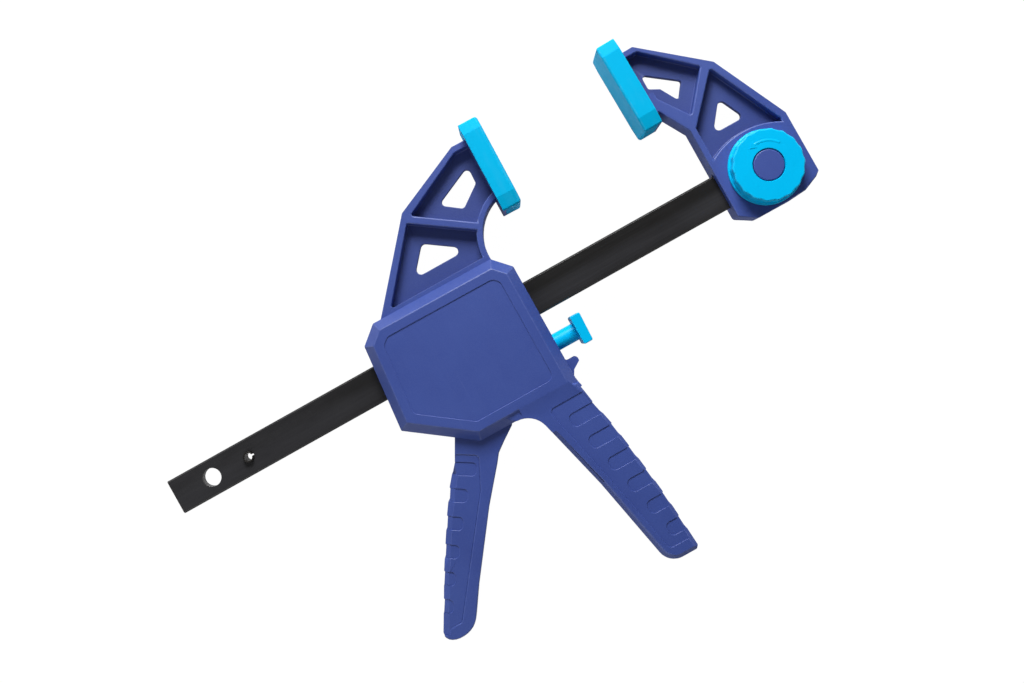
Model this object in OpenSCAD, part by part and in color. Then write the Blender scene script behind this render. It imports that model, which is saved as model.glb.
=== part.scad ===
// Quick release bar clamp, 150 mm opening class, one-handed, with spreader head.
// +X runs along the bar from the trigger housing to the fixed jaw, +Y to the jaw tips,
// +Z out of the side that carries the lock knob. The origin is the centre of the moving
// pad's clamping face. Outlines below are written from the bar's centreline.

/* [Bar] */
// height of the flat steel bar
bar_w = 20; // [16:0.5:26]
// thickness of the bar
bar_t = 6; // [4:0.5:8]
// bevel along the bar's edges
bar_edge = 0.8; // [0.2:0.1:1.5]
// end of the bar behind the housing
bar_tail = -246; // [-400:0.5:-200]
// end of the bar inside the fixed jaw
bar_head = 144.5; // [140:0.5:146]
// hole near the tail, the same size as the jaw's lock hole
tail_hole_d = 10.2; // [6:0.1:12]
// place of the tail hole
tail_hole_x = -223; // [-380:0.1:-180]
// diameter of the slotted stop pin
stop_d = 6; // [4:0.5:8]
// length of the stop pin
stop_len = 10.4; // [8:0.1:16]
// place of the stop pin
stop_x = -199.7; // [-360:0.1:-160]

/* [Housing] */
// half depth of the housing at its raised panel
cover_z = 16; // [14:0.5:20]
// height at which the housing's bevel starts
bevel_z = 10; // [8:0.5:12]
// width of the housing's bevel
bevel_w = 5.2; // [3:0.1:7]
// thickness of the housing's face wall
face_wall = 3.2; // [2:0.1:4]
// thickness of the housing's edge walls
edge_wall = 4; // [3:0.1:5]
// half depth of the moving jaw's rim
jaw_z = 9; // [7:0.5:12]
// half depth of the jaws' webs
web_z = 2; // [1.5:0.1:3]
// half depth of the pistol handle
handle_z = 14.5; // [10:0.5:15]
// depth of the sunk panels
sunk = 0.5; // [0.2:0.1:1]
// depth of the grip slots
slot_deep = 0.5; // [0.2:0.1:1]
// sliding gap round the bar
bar_gap = 0.25; // [0.15:0.05:0.4]

/* [Trigger] */
// half depth of the trigger
trigger_z = 8.5; // [6:0.5:10]
// travel of the trigger in degrees
trigger_turn = 30; // [15:1:32]
// radius of the trigger's pin
pin_r = 3; // [2:0.1:4]
// running gap on the hinge pins
pin_gap = 0.06; // [0.02:0.01:0.1]
// distance from the pin to the trigger's nose
nose_r = 17; // [14:0.5:20]
// thickness of the locking plates
plate_t = 3; // [2:0.1:4]

/* [Release button] */
// radius of the button's stem
stem_r = 4.95; // [4:0.05:6]
// travel of the button
button_travel = 4; // [2:0.5:5]

/* [Jaw lock] */
// radius of the lock knob over its lobes
knob_r = 19.8; // [17:0.1:22]
// scallops round the knob
knob_lobes = 18; // [8:1:24]
// depth of a scallop
scallop = 0.45; // [0.2:0.05:1.5]
// lift of the plunger in a quarter turn
lock_lift = 4.5; // [4:0.1:5]
// half depth of the fixed jaw's rim
fixed_z = 8.5; // [7:0.5:11]

/* [Pads] */
// thickness of the slip-on pads
pad_t = 11.3; // [8:0.1:14]
// height of the pads
pad_h = 52.6; // [40:0.1:60]
// half depth of the pads
pad_z = 16.5; // [12:0.5:20]
// lean of the moving pad in degrees
moving_lean = 1; // [0:0.1:3]
// lean of the fixed pad in degrees
fixed_lean = 1.4; // [0:0.1:4]

/* [Hidden] */
$fn = 48;
pad_mid_y = 75.15;
// top and bottom of a pad, from the middle of its clamping face
pad_up = 25.65;
pad_low = pad_up - pad_h;
fixed_face = [75.1, pad_mid_y];
pivot = [-74, -32];
shoulder = [-64.3, -55.2];
plate_x = pivot.x - 3.05;
spring_wall = -110.5;
// the drive spring clears the bar's corners
drive_wire = 1.4;
spring_r = norm([bar_w, bar_t]) / 2 + 0.46 + drive_wire / 2;
cover = [[-103.6, 30.1], [-30.6, 29.5], [-21.6, 19.9], [-21.6, -54.4],
  [-83.3, -54.4], [-118.6, -28.5], [-113.8, 21.4]];
jaw_outer = [[-99.1, 28], [-99.1, 30], [-60.5, 75], [-19.3, 93.4], [-10.8, 93.4],
  [-11.4, 50], [-26, 26], [-60, 26]];
jaw_arc_c = [-2.3, 30.9];
jaw_arc_r = 28;
rim_w = 3.6;
// the handle's outer edge, as X against Y
handle_edge = [[-161, -7.9], [-143, -9.1], [-127.5, -10.3], [-112, -12.1], [-96, -14.2],
  [-80.5, -16.5], [-65, -19.9], [-58.6, -20.9], [-50, -21.3]];
function edge_points(a, b) = [for (i = [a : b]) [handle_edge[i][1], handle_edge[i][0]]];
handle_top = concat([[-50.2, -48], [-47.3, -69], [-36.4, -112]], edge_points(3, 5), edge_points(8, 8));
handle_end = concat([[-38.3, -104]], corner_arc([-38.3, -104], [-26.5, -162.7], [-9.4, -162.7], 10, 8),
  [[-9.4, -162.7]], edge_points(0, 3), [[-13.4, -104]]);
neck_hollow = concat(edge_points(5, 7), [[-21.6, -55], [5, -55], [5, -80.5]]);
handle_bevel = 2.4;
slot_w = 7.9;
handle_panel = [[-43.4, -57.6], [-10, -57.6], [0, -155.2], [-22.3, -155.2], [-31, -112]];
screws = [[-103, 20.5, 0], [-60, 20.5, 0], [-43, -42.5, 0], [-104.5, -28, 0],
  [-28.5, -96, 1], [-19, -152, 1]];
screw_r = 1.5;
head_r = 3.1;
// floor of the hollow grip, and the seats of the housing's and the handle's screws
grip_floor = handle_z - 4;
seat_z = [11.6, grip_floor - 0.4];
button_y = -27.7;
brake_eye = [-37, bar_w / 2 + 8];
// lean of the brake plate at rest: the button takes it out over its travel
brake_lean = atan(button_travel / (brake_eye.y - button_y));
button_wall = -26;
// the trigger's finger edge, a point at the foot of each lobe
finger_edge = [[-106.4, -62.7], [-111.4, -68.8], [-120.1, -81.5], [-128.4, -94.6], [-136.3, -107.2],
  [-143.8, -120.4], [-153.1, -136.5]];
// bevel along the finger edge, in the trigger's face and down its side
finger_bevel = [4, 2.6];
slot_turn = -122;
jaw_end = bar_head + 5;
fixed_outer = [[99, -16.5], [99, 37.6], [89.2, 54.6], [86.5, 54.6], [85.6, 93], [93.7, 93], [128.6, 64.2],
  [jaw_end, 20.9], [jaw_end + 0.3, -15.6], [jaw_end - 2.3, -17.9], [jaw_end - 11, -21.6], [127, -22.5],
  [108.6, -22.4]];
lock_x = 125;
lock_hole_r = tail_hole_d / 2;
plunger_r = lock_hole_r - 0.15;
plunger_foot = -1;
plunger_top = 11.6;
collar_r = 7.5;
collar_top = 16.6;
cam_pin_r = 1.2;
cam_pin_z = 10.2;
cam_pin_end = 10.4;
cap_r = 8.5;
knob_top = 18.5;
scallop_r = 14;
// longer than anything is thick
through = 60;
navy = [0.13, 0.17, 0.45];
cyan = [0.0, 0.62, 0.88];
steel = [0.55, 0.56, 0.58];
black = [0.09, 0.09, 0.1];

// ---- helpers ----

// centre of the circle of radius r that touches both sides of corner b
function corner_centre(a, b, c, r) =
  let (u = (a - b) / norm(a - b), v = (c - b) / norm(c - b))
  b + (u + v) / norm(u + v) * r / sin(acos(u * v) / 2);

function corner_arc(a, b, c, r, k) =
  let (m = corner_centre(a, b, c, r), u = (a - b) / norm(a - b), v = (c - b) / norm(c - b),
    d = r / tan(acos(u * v) / 2), s = b + u * d - m, e = b + v * d - m,
    t0 = atan2(s.y, s.x), t = (atan2(e.y, e.x) - t0 + 540) % 360 - 180)
  [for (i = [0 : k]) m + r * [cos(t0 + t * i / k), sin(t0 + t * i / k)]];

// outline with every corner rounded to r
function soft(p, r, k = 5) =
  [for (i = [0 : len(p) - 1])
    each corner_arc(p[(i + len(p) - 1) % len(p)], p[i], p[(i + 1) % len(p)], r, k)];

// convex outline moved inwards by d
function inset(p, d) =
  [for (i = [0 : len(p) - 1])
    corner_centre(p[(i + len(p) - 1) % len(p)], p[i], p[(i + 1) % len(p)], d)];

// rectangle of half width w and half height h with its corners cut by c
function chamfered(w, h, c) = [[-w + c, -h], [w - c, -h], [w, -h + c], [w, h - c],
  [w - c, h], [-w + c, h], [-w, h - c], [-w, -h + c]];

// point p swung about the trigger's pin by a degrees
function turned(p, a) =
  let (q = p - pivot)
  pivot + [q.x * cos(a) - q.y * sin(a), q.x * sin(a) + q.y * cos(a)];

module placed() translate([0, -pad_mid_y, 0]) children();

module plate(p, h) linear_extrude(height = h) polygon(p);

// slab with its upper edge bevelled, for a convex outline
module bevelled(p, z0, z1, d) hull() {
  plate(p, z0);
  translate([0, 0, z1 - 0.01]) plate(inset(p, d), 0.01);
}

// outline drawn in Y and Z, with thickness t along +X from x0
module along_x(x0, t) translate([x0, 0, 0]) rotate([90, 0, 90]) linear_extrude(height = t) children();

module rod_x(r, x0, x1) translate([x0, 0, 0]) rotate([0, 90, 0]) cylinder(r = r, h = x1 - x0);

module ring(ro, ri, h) difference() {
  cylinder(r = ro, h = h);
  translate([0, 0, -1]) cylinder(r = ri, h = h + 2);
}

// round wire wound on radius r: the wire's flat section, turned as it rises
module coil(r, wire, len, turns) {
  pitch = len / turns;
  swing = 360 * wire / 2 / pitch;
  n = 3;
  w = function (a, s) let (q = a / swing, d = wire / 2 * sqrt(max(0, 1 - q * q)))
    (r + s * d) * [cos(a), sin(a)];
  outer = [for (i = [-n : n]) w(swing * i / n, 1)];
  inner = [for (i = [n - 1 : -1 : 1 - n]) w(swing * i / n, -1)];
  linear_extrude(height = len, twist = -360 * turns, slices = ceil(turns * 14), $fn = 0)
    polygon(concat(outer, inner));
}

// ---- moving jaw, housing and handle ----

// frame of the moving pad: x = 0 is its clamping face
module moving_tip() translate([0, pad_mid_y, 0]) rotate([0, 0, -moving_lean]) children();

// frame of the fixed pad, turned to face the other way
module fixed_tip() translate([fixed_face.x, fixed_face.y, 0]) rotate([0, 0, fixed_lean])
  mirror([1, 0, 0]) children();

// flange and tongue that a pad is pushed over from above, in the pad's frame
module tip_plate(over = 0) {
  translate([-pad_t - over, pad_low - over, -pad_z + 3])
    cube([1.8 + over, pad_h - 6.5 + over, 2 * pad_z - 6]);
  translate([-pad_t + 1.7, -21, -11]) cube([4.3, 38, 22]);
}

module jaw_half() {
  difference() {
    plate(jaw_outer, jaw_z);
    translate([jaw_arc_c.x, jaw_arc_c.y, -1]) cylinder(r = jaw_arc_r, h = 20, $fn = 96);
    translate([0, 0, web_z]) difference() {
      union() {
        plate(soft([[-91.4, 32.3], [-60.9, 68.9], [-28, 46.2], [-28, 32.3]], 1), 20);
        plate(soft([[-57.2, 71.6], [-19.4, 89.8], [-8, 89.8], [-8, 45], [-22, 47.2]], 1), 20);
      }
      translate([jaw_arc_c.x, jaw_arc_c.y, -1])
        cylinder(r = jaw_arc_r + rim_w, h = 30, $fn = 96);
    }
    translate([0, 0, -1]) {
      plate(soft([[-41, 70], [-16.4, 81.1], [-16.9, 70.6], [-29.5, 61.5]], 2.3), 20);
      plate(soft([[-59.4, 56.2], [-37.6, 41], [-72.5, 41]], 2.7), 20);
    }
  }
  intersection() {
    moving_tip() tip_plate();
    translate([-30, 0, 0]) cube([60, 120, 30]);
  }
}

module handle_half() {
  difference() {
    union() {
      bevelled(handle_top, handle_z - handle_bevel, handle_z, handle_bevel);
      bevelled(handle_end, handle_z - handle_bevel, handle_z, handle_bevel);
      // web between the housing's lower edge and the handle's neck
      plate(concat([[-66, -50]], corner_arc([-66, -54.4], [-51, -54.4], [-47.3, -69], 13, 8),
        [[-47.3, -69], [-40, -70], [-40, -50]]), handle_z);
      // neck, faired into the housing's corner
      hull() {
        translate([0, 0, cover_z - 0.5]) plate([[-57, -46], [-27, -46], [-27, -49.1], [-57, -49.1]], 0.5);
        translate([0, 0, handle_z - 0.5]) plate([[-57, -54], [-24, -54], [-23, -57.6], [-47, -57.6]], 0.5);
      }
      // guard fin over the web of the hand
      plate([[-24, -36], [-20.4, -39.3], [-15.8, -39.3], [-15, -40.4], [-15, -42.4],
        [-19.8, -45.4], [-21.6, -48.5], [-24, -50]], 6);
    }
    translate([0, 0, handle_z - sunk]) plate(soft(handle_panel, 3), 9);
    translate([0, 0, -1]) plate(neck_hollow, handle_z + 2);
    for (i = [0 : 5]) {
      x = -35.8 + 3.46 * i;
      y = -73.1 - 15.39 * i;
      translate([0, 0, handle_z - sunk - slot_deep])
        plate(soft([[x, y], [x, y + slot_w], [5, y + slot_w], [5, y]], 3), 9);
      // the slots run on round the handle's outer edge
      translate([0, 0, -1]) plate([for (q = [[y, 0], [y + slot_w, 0], [y + slot_w, 1], [y, 1]])
        [q[1] * 5 + (1 - q[1]) * (lookup(q[0], handle_edge) - slot_deep), q[0]]], handle_z + 2);
    }
    // hollow grip
    translate([0, 0, -1]) plate([[-43, -62], [-37, -86], [-33.5, -104], [-26, -148], [-23, -156.5],
      [-19, -158.7], [-12.2, -158.7], [-14, -138], [-16.6, -112], [-20, -86], [-24.5, -62]], grip_floor + 1);
  }
}

// everything of one half shell except its screw holes
module shell_half() {
  chamber = inset(cover, edge_wall);
  // the trigger's shoulder when it is pulled home
  far = turned(shoulder, trigger_turn);
  difference() {
    union() {
      jaw_half();
      bevelled(cover, bevel_z, cover_z, bevel_w);
      handle_half();
    }
    translate([0, 0, cover_z - sunk]) plate(soft(inset(cover, 10.4), 4), 9);
    difference() {
      translate([0, 0, -1]) plate(chamber, cover_z - face_wall + 1);
      // flat seat for the drive spring and corner blocks
      translate([-130, -16, -2]) cube([130 + spring_wall, 32, 30]);
    }
    // room for the drive spring
    rod_x(spring_r + drive_wire / 2 + 0.3, spring_wall, plate_x);
    // way through for the bar
    translate([-125, -bar_w / 2 - bar_gap, -1]) cube([110, bar_w + 2 * bar_gap, bar_t / 2 + bar_gap + 1]);
    // way out for the trigger, from stop to stop
    translate([0, 0, -1]) plate([[-101.5, -36], [-99, -48], [-90, -70], far - [3.2, 22.8],
      far - [3.2, 6.8], far - [-1, 2.8], far + [1, 7.2]], trigger_z + 0.35 + 1);
    // bore for the button's stem
    translate([0, button_y, 0]) rod_x(stem_r + 0.1, button_wall - 1, -15);
  }
  difference() {
    union() {
      translate([pivot.x, pivot.y, trigger_z + 0.3]) cylinder(r = 6.5, h = 5);
      translate([brake_eye.x, brake_eye.y, 9.8]) cylinder(r = 4.5, h = 3.2);
      // rib behind the brake spring
      translate([-54, -30, 0]) cube([4, 12, cover_z - face_wall + 0.1]);
      for (s = screws) translate([s.x, s.y, 0]) cylinder(r = 4.4, h = s.z == 0 ? 13.2 : grip_floor + 0.2);
    }
    translate([pivot.x, pivot.y, -1]) cylinder(r = pin_r, h = 15);
    translate([brake_eye.x, brake_eye.y, -1]) cylinder(r = 2, h = 13.5);
  }
}

module body_front_shell() color(navy) placed() difference() {
  shell_half();
  for (s = screws) translate([s.x, s.y, -1]) cylinder(r = screw_r, h = (s.z == 0 ? 10 : 7) + 1);
  translate([pivot.x, pivot.y, -1]) cylinder(r = pin_r, h = 15);
  translate([brake_eye.x, brake_eye.y, -1]) cylinder(r = 2, h = 13.5);
}

module body_back_shell() color(navy) placed() mirror([0, 0, 1]) difference() {
  shell_half();
  for (s = screws) translate([s.x, s.y, 0]) {
    translate([0, 0, -1]) cylinder(r = screw_r + 0.2, h = 20);
    translate([0, 0, seat_z[s.z]]) cylinder(r = head_r + 0.3, h = 9);
  }
  translate([pivot.x, pivot.y, -1]) cylinder(r = pin_r, h = 15);
  translate([brake_eye.x, brake_eye.y, -1]) cylinder(r = 2, h = 13.5);
}

module body_screws() color(steel) placed() for (s = screws)
  translate([s.x, s.y, -seat_z[s.z]]) difference() {
    union() {
      translate([0, 0, -2.3]) cylinder(r = head_r, h = 2.3);
      translate([0, 0, -0.1]) cylinder(r = screw_r, h = seat_z[s.z] + (s.z == 0 ? 10 : 7) + 0.1);
    }
    for (a = [0, 90]) rotate([0, 0, a]) translate([-2, -0.45, -3]) cube([4, 0.9, 1.9]);
  }

// rubber cap pushed over a jaw's tip, in the pad's frame
module pad_shape() {
  outline = [[pad_low, -pad_z + 1.9], [pad_low + 8, -pad_z], [pad_up - 6.5, -pad_z],
    [pad_up, -pad_z + 1.9], [pad_up, pad_z - 1.9], [pad_up - 6.5, pad_z], [pad_low + 8, pad_z],
    [pad_low, pad_z - 1.9]];
  difference() {
    hull() {
      along_x(-pad_t, pad_t - 1) polygon(soft(outline, 1.4, 3));
      along_x(-0.01, 0.01) polygon(soft(inset(outline, 1), 1, 3));
    }
    tip_plate(1);
  }
}

module moving_pad() color(cyan) placed() moving_tip() pad_shape();

module fixed_pad() color(cyan) placed() fixed_tip() pad_shape();

// ---- trigger, drive plates and brake ----

// bevel along the finger edge from a to b
module finger_cut(a, b) translate(a) rotate([0, 0, atan2(b.y - a.y, b.x - a.x)])
  along_x(-1, norm(b - a) + 2) polygon([[finger_bevel.x, trigger_z],
    [-finger_bevel.x, trigger_z - 2 * finger_bevel.y], [-finger_bevel.x, through],
    [finger_bevel.x, through]]);

module trigger() {
  arm = concat([[-88.5, -34], [-101.9, -58], [-105.6, -62.3]], finger_edge, [[-152.9, -139.1],
    [-151.8, -140.9], [-150.2, -142.1], [-148.2, -142.9], [-146, -143.3], [-143.6, -143.3],
    [-141.2, -143], [-138.9, -142.3], [-136.7, -141.2], [-134.9, -139.8], [-133.3, -138.1],
    [-124.2, -124.6], [-97, -88], [-81.6, -69.6], [-78.1, -65], [-72.6, -60.9], shoulder,
    [-62, -48], [-62, -36], [-68, -24], [-71, -15], [-76.9, -15], [-77, -21]]);
  last = len(finger_edge) - 1;
  color(navy) placed() difference() {
    union() {
      translate([0, 0, -trigger_z]) plate(arm, 2 * trigger_z);
      translate([pivot.x, pivot.y + nose_r, -trigger_z]) cylinder(r = 3, h = 2 * trigger_z);
    }
    translate([pivot.x, pivot.y, -through / 2]) cylinder(r = pin_r + pin_gap, h = through);
    for (m = [0, 1]) mirror([0, 0, m]) {
      translate([0, 0, trigger_z - sunk]) plate(soft([[-100, -54], [-88.6, -61], [-97, -78],
        [-141, -136], [-150.5, -136], [-170, -130]], 2.5), 9);
      for (i = [0 : 2 : last - 1]) finger_cut(finger_edge[i], finger_edge[i + 2]);
      // slots from the inner face round to the finger edge, between the lobes
      for (i = [0 : last - 1])
        translate(i == 0 ? [-101.2, -57.8] : finger_edge[i]) rotate([0, 0, slot_turn]) {
        translate([0, 0, trigger_z - sunk - slot_deep])
          plate(soft([[0, -4], [0, 11.5 - 1.2 * i], [7.3, 11.5 - 1.2 * i], [7.3, -4]], 2.5), 9);
        if (i > 0) along_x(0, 7.3) polygon([[slot_deep + finger_bevel.x, trigger_z],
          [slot_deep, trigger_z - finger_bevel.y], [slot_deep, -1], [-5, -1], [-5, through],
          [slot_deep + finger_bevel.x, through]]);
      }
    }
  }
}

module trigger_pin() color(steel) placed() translate([pivot.x, pivot.y, -13.8])
  cylinder(r = pin_r, h = 27.6);

module drive_plates() color(steel) placed() for (i = [0, 1])
  along_x(plate_x - (i + 1) * plate_t, plate_t - 0.02) difference() {
    polygon(soft([[-bar_w / 2 - 9, -bar_t / 2 - 7], [bar_w / 2 + 6, -bar_t / 2 - 7],
      [bar_w / 2 + 6, bar_t / 2 + 7], [-bar_w / 2 - 9, bar_t / 2 + 7]], 2));
    square([bar_w + 2 * bar_gap, bar_t + 2 * bar_gap], center = true);
  }

module drive_spring() color(steel) placed()
  translate([spring_wall, 0, 0]) rotate([0, 90, 0])
  coil(spring_r, drive_wire, plate_x - 2 * plate_t - spring_wall, 6);

// hardened plate that grips the bar: an eye on its pin, a window for the bar
module brake_plate() color(steel) placed()
  translate([brake_eye.x, brake_eye.y, 0]) rotate([0, 0, brake_lean]) difference() {
    union() {
      translate([0, 0, -9.5]) cylinder(r = 3.6, h = 19);
      translate([-plate_t / 2, -51, -9.5]) cube([plate_t, 51, 19]);
    }
    translate([0, 0, -through / 2]) cylinder(r = 2 + pin_gap, h = through);
    // window that lets the plate lean on the bar
    translate([-9, -brake_eye.y - bar_w / 2 - 0.4, -bar_t / 2 - bar_gap])
      cube([18, bar_w + 0.8, bar_t + 2 * bar_gap]);
  }

module brake_pin() color(steel) placed() translate([brake_eye.x, brake_eye.y, -12.4])
  cylinder(r = 2, h = 24.8);

module brake_spring() color(steel) placed() translate([-50, -24, 0]) rotate([0, 90, 0])
  coil(3.4, 0.9, 14.8, 6);

module release_button() {
  color(cyan) placed() {
    // cross bar, hollowed across the middle for the thumb
    difference() {
      translate([0, 0, -13]) plate(soft([[-3.2, -36], [-2.6, -19.1], [-8.6, -19.1], [-8.6, -36]], 1), 26);
      translate([21.8, button_y, -through / 2]) cylinder(r = 25.4, h = through, $fn = 96);
    }
    translate([0, button_y, 0]) {
      rod_x(stem_r, button_wall - 0.05, -8.5);
      rod_x(6.6, button_wall - 2.05, button_wall - 0.05);
      rod_x(2.4, -31.05, button_wall - 2);
    }
  }
}

// ---- bar and fixed jaw ----

module bar() color(black) placed() difference() {
  along_x(bar_tail, bar_head - bar_tail) polygon(chamfered(bar_w / 2, bar_t / 2, bar_edge));
  translate([tail_hole_x, 0, -9]) cylinder(d = tail_hole_d, h = 18);
  translate([lock_x, 0, -9]) cylinder(r = lock_hole_r, h = 18);
  translate([stop_x, 0, -9]) cylinder(d = stop_d, h = 18);
}

module stop_pin() color(steel) placed() translate([stop_x, 0, -stop_len / 2]) difference() {
  ring(stop_d / 2, 2.2, stop_len);
  translate([0, -0.45, -1]) cube([stop_d, 0.9, stop_len + 2]);
}

module fixed_jaw() {
  color(navy) placed() difference() {
    union() {
      translate([0, 0, -fixed_z]) plate(fixed_outer, 2 * fixed_z);
      fixed_tip() tip_plate();
      translate([lock_x, 0, 0]) cylinder(r = collar_r, h = collar_top);
    }
    for (m = [0, 1]) mirror([0, 0, m]) translate([0, 0, web_z]) difference() {
      union() {
        plate(soft([[86, 89.4], [94.6, 89.4], [121, 65.6], [103.9, 44.6], [86, 70]], 1), 20);
        plate(soft([[125.2, 62], [145.6, 19.5], [145, 8], [102.6, 8], [102.6, 37]], 1), 20);
      }
      translate([124, -20, -1]) cylinder(r = 43.3, h = 30, $fn = 96);
      fixed_tip() tip_plate();
      // rim on the jaw's inner side
      translate([0, 0, -1]) plate([[80, 45], [99, 37.6], [103, 39], [92.6, 57], [91.5, 66], [89, 66]], 20);
    }
    translate([0, 0, -20]) {
      plate(soft([[91.4, 78.3], [109.6, 64.6], [103.2, 55.8], [97.2, 66.2], [91.4, 69.3]], 1.4), 40);
      plate(soft([[122.8, 46], [130.4, 30.2], [110.6, 30.2]], 2.3), 40);
    }
    // socket for the bar, closed at its end
    translate([90, -bar_w / 2, -bar_t / 2]) cube([bar_head - 90, bar_w, bar_t]);
    // bore and cam slots for the plunger
    translate([lock_x, 0, 0]) cylinder(r = lock_hole_r, h = 30);
    translate([lock_x - 12, -cam_pin_r - 0.2, fixed_z + 0.3]) cube([24, 2 * cam_pin_r + 0.4, 7.4]);
  }
}

// scalloped knob with two cam grooves that lift the plunger's pins
module lock_knob() {
  // the groove is a fan of this half width that turns as it rises
  half = 90 * (cam_pin_r + 0.2) / lock_lift + 4;
  rise = lock_lift + 2 * (cam_pin_r + 0.2);
  color(cyan) placed() translate([lock_x, 0, 0]) difference() {
    union() {
      rotate_extrude($fn = 96) polygon([[collar_r + pin_gap, fixed_z + 0.15], [20.8, fixed_z + 0.15],
        [20.8, 10.4], [knob_r, 10.9], [knob_r, knob_top - 1.2], [knob_r - 1.2, knob_top],
        [cap_r + 0.4, knob_top], [cap_r + 0.4, collar_top - 0.1], [collar_r + pin_gap, collar_top - 0.1]]);
      // raised quarter arc with an arrow head
      translate([0, 0, knob_top - 0.1]) {
        rotate([0, 0, 62]) rotate_extrude(angle = 60, $fn = 96) translate([12.7, 0]) square([1, 0.5]);
        rotate([0, 0, 122]) linear_extrude(height = 0.5) polygon([[11.3, 0], [15.1, 0], [13.2, 3]]);
      }
    }
    for (i = [0 : knob_lobes - 1]) rotate([0, 0, 8 + i * 360 / knob_lobes])
      translate([knob_r - scallop + scallop_r, 0, 11.2]) cylinder(r = scallop_r, h = through, $fn = 96);
    for (a = [0, 180]) rotate([0, 0, a + 90 * (cam_pin_r + 0.2) / lock_lift])
      translate([0, 0, cam_pin_z - cam_pin_r - 0.2])
      linear_extrude(height = rise, twist = 90 * rise / lock_lift, slices = 16, $fn = 0)
      polygon(concat([for (i = [-4 : 4]) (cam_pin_end + 0.3) * [cos(half * i / 4), sin(half * i / 4)]],
        [for (i = [4 : -1 : -4]) 6.5 * [cos(half * i / 4), sin(half * i / 4)]]));
  }
}

module knob_cap() color(navy) placed() translate([lock_x, 0, collar_top])
  rotate_extrude() polygon([[0, 0], [cap_r, 0], [cap_r, 1.2], [cap_r - 0.5, 1.7], [0, 1.7]]);

module lock_plunger() color(steel) placed() translate([lock_x, 0, 0]) difference() {
  translate([0, 0, plunger_foot]) cylinder(r = plunger_r, h = plunger_top - plunger_foot);
  translate([0, 0, 3]) cylinder(r = 3.3, h = 20);
  translate([0, 0, cam_pin_z]) rod_x(cam_pin_r, -9, 9);
}

module cam_pins() color(steel) placed() translate([lock_x, 0, cam_pin_z])
  for (a = [0, 180]) rotate([0, 0, a]) rod_x(cam_pin_r, 3.35, cam_pin_end);

module lock_spring() color(steel) placed() translate([lock_x, 0, 3])
  coil(2.75, 0.7, collar_top - 3, 8);

body_front_shell();
body_back_shell();
body_screws();
moving_pad();
trigger();
trigger_pin();
drive_plates();
drive_spring();
brake_plate();
brake_pin();
brake_spring();
release_button();
bar();
stop_pin();
fixed_jaw();
fixed_pad();
lock_knob();
knob_cap();
lock_plunger();
cam_pins();
lock_spring();
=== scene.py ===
import math
import bpy
import bmesh
from mathutils import Matrix, Vector


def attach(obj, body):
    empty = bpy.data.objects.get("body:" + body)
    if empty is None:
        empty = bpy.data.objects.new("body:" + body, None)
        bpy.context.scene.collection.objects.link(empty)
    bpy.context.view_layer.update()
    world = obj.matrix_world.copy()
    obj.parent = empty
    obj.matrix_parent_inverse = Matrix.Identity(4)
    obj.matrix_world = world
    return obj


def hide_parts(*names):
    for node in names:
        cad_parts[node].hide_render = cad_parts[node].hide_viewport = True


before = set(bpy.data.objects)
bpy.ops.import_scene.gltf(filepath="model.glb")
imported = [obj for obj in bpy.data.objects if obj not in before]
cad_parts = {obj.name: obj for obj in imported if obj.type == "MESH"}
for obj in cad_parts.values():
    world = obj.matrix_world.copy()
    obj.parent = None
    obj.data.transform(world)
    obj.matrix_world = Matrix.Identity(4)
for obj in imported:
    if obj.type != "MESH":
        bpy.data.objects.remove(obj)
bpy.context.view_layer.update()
mm = 0.001  # lengths in the dictionaries of values are in mm, and their y is counted from the bar's line
barLine = -75.15 * mm  # the bar's centreline in Y


# a node's socket that can be written into Python sums
class Wire:
    def __init__(self, board, socket):
        self.board = board
        self.socket = socket

    def maths(self, operation, *values):
        return self.board.add("ShaderNodeMath", *values, settings={"operation": operation})

    def __add__(self, other):
        return self.maths("ADD", self, other)

    def __radd__(self, other):
        return self.maths("ADD", other, self)

    def __sub__(self, other):
        return self.maths("SUBTRACT", self, other)

    def __rsub__(self, other):
        return self.maths("SUBTRACT", other, self)

    def __mul__(self, other):
        return self.maths("MULTIPLY", self, other)

    def __rmul__(self, other):
        return self.maths("MULTIPLY", other, self)

    def __truediv__(self, other):
        return self.maths("DIVIDE", self, other)

    def clamp(self):
        return self.maths("MAXIMUM", self.maths("MINIMUM", self, 1.0), 0.0)


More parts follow.
